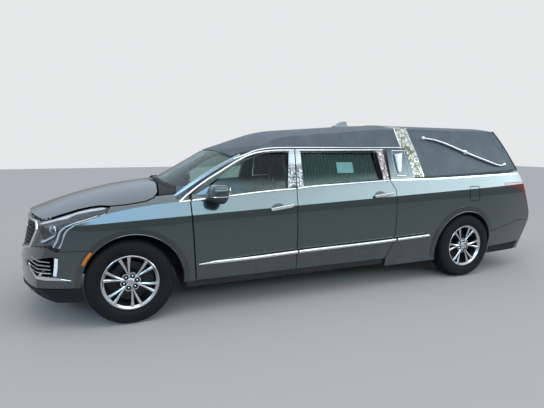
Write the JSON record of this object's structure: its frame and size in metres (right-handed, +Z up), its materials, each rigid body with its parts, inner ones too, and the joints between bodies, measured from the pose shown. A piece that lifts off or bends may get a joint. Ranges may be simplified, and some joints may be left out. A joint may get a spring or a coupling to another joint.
{
  "type": "hearse",
  "caption": "Long hearse with a raised vinyl roof, side doors, lifting rear gate and hood, casket deck and steered front wheels.",
  "frame": {"origin": "middle of the box's underside, on the ground midway between nose and tail", "axes": "+X towards the rear, +Y towards the car's right side, +Z up"},
  "size_m": [6.081, 2.27, 1.886],
  "materials": {
    "paint": "metallic grey-green gloss",
    "vinyl": "grained padded vinyl",
    "chrome": "polished",
    "band": "etched bright band",
    "lamp": "clear lens over bright reflectors",
    "tail_lamp": "red lens",
    "valance": "dark grained plastic",
    "grille": "dark mesh",
    "glass": "tinted",
    "tyre": "sidewall rubber",
    "alloy": "machined face, dark pockets",
    "chassis": "satin black underbody",
    "engine": "cast",
    "steel": "bare",
    "trim": "grained cabin trim",
    "seat": "stitched upholstery",
    "curtain": "pleated green cloth",
    "deck": "lacquered boards with steel rollers"
  },
  "bodies": {
    "body": {"antenna_fin": "paint", "body_side_left": "paint", "body_side_right": "paint", "bulkhead": "valance", "casket_deck": "deck", "dashboard": "trim", "engine": "engine", "exhaust": "steel", "fenders": "paint", "floor_pan": "chassis", "front_bumper": "paint", "front_seats": "seat", "front_suspension": "chassis", "front_valance": "valance", "fuel_tank": "chassis", "grille": "grille", "headlamps": "lamp", "landau_bars": "chrome", "quarter_left": "paint", "quarter_right": "paint", "rear_bumper": "paint", "rear_liners": "valance", "rear_suspension": "chassis", "roof_band": "band", "roof_shell": "vinyl", "steering_wheel": "trim", "tail_lamps": "tail_lamp", "wheel_liners": "valance", "windscreen": "glass"},
    "hood": {"hood": "paint"},
    "gate": {"gate": "paint", "gate_glass": "glass"},
    "fuel_flap": {"fuel_flap": "paint"},
    "door_front_left": {"door_front_left": "paint", "window_front_left": "glass", "mirror_left": "paint"},
    "door_rear_left": {"door_rear_left": "paint", "window_rear_left": "glass", "curtain_left": "curtain"},
    "knuckle_left": {"knuckle_left": "chassis"},
    "wheel_front_left": {"tyre_front_left": "tyre", "wheel_front_left": "alloy"},
    "wheel_rear_left": {"tyre_rear_left": "tyre", "wheel_rear_left": "alloy"},
    "door_front_right": {"door_front_right": "paint", "window_front_right": "glass", "mirror_right": "paint"},
    "door_rear_right": {"door_rear_right": "paint", "window_rear_right": "glass", "curtain_right": "curtain"},
    "knuckle_right": {"knuckle_right": "chassis"},
    "wheel_front_right": {"tyre_front_right": "tyre", "wheel_front_right": "alloy"},
    "wheel_rear_right": {"tyre_rear_right": "tyre", "wheel_rear_right": "alloy"}
  },
  "joints": [
    {"name": "hood_lift", "type": "hinge", "parent": "body", "child": "hood", "pos_m": [-1.6045, 0, 1.14], "axis": [0, 1, 0], "range_deg": [0, 50]},
    {"name": "gate_lift", "type": "hinge", "parent": "body", "child": "gate", "pos_m": [2.5255, 0, 1.745], "axis": [0, -1, 0], "range_deg": [0, 78]},
    {"name": "fuel_flap_hinge", "type": "hinge", "parent": "body", "child": "fuel_flap", "pos_m": [1.7485, -0.94, 1.013], "axis": [0, 0, -1], "range_deg": [0, 85]},
    {"name": "door_front_left_hinge", "type": "hinge", "parent": "body", "child": "door_front_left", "pos_m": [-1.4345, -0.935, 0.9], "axis": [0, 0, -1], "range_deg": [0, 65]},
    {"name": "door_rear_left_hinge", "type": "hinge", "parent": "body", "child": "door_rear_left", "pos_m": [-0.4245, -0.935, 0.9], "axis": [0, 0, -1], "range_deg": [0, 65]},
    {"name": "steer_left", "type": "hinge", "parent": "body", "child": "knuckle_left", "pos_m": [-2.0745, -0.74, 0.381], "axis": [0, 0, 1], "range_deg": [-32, 32]},
    {"name": "wheel_front_left_spin", "type": "hinge", "parent": "knuckle_left", "child": "wheel_front_left", "pos_m": [-2.0745, -0.82, 0.381], "axis": [0, 1, 0], "continuous": true},
    {"name": "wheel_rear_left_spin", "type": "hinge", "parent": "body", "child": "wheel_rear_left", "pos_m": [1.7555, -0.82, 0.381], "axis": [0, 1, 0], "continuous": true},
    {"name": "door_front_right_hinge", "type": "hinge", "parent": "body", "child": "door_front_right", "pos_m": [-1.4345, 0.935, 0.9], "axis": [0, 0, 1], "range_deg": [0, 65]},
    {"name": "door_rear_right_hinge", "type": "hinge", "parent": "body", "child": "door_rear_right", "pos_m": [-0.4245, 0.935, 0.9], "axis": [0, 0, 1], "range_deg": [0, 65]},
    {"name": "steer_right", "type": "hinge", "parent": "body", "child": "knuckle_right", "pos_m": [-2.0745, 0.74, 0.381], "axis": [0, 0, 1], "range_deg": [-32, 32]},
    {"name": "wheel_front_right_spin", "type": "hinge", "parent": "knuckle_right", "child": "wheel_front_right", "pos_m": [-2.0745, 0.82, 0.381], "axis": [0, 1, 0], "continuous": true},
    {"name": "wheel_rear_right_spin", "type": "hinge", "parent": "body", "child": "wheel_rear_right", "pos_m": [1.7555, 0.82, 0.381], "axis": [0, 1, 0], "continuous": true}
  ],
  "couplings": [
    {"joint": "steer_right", "follows": "steer_left", "ratio": 1}
  ]
}
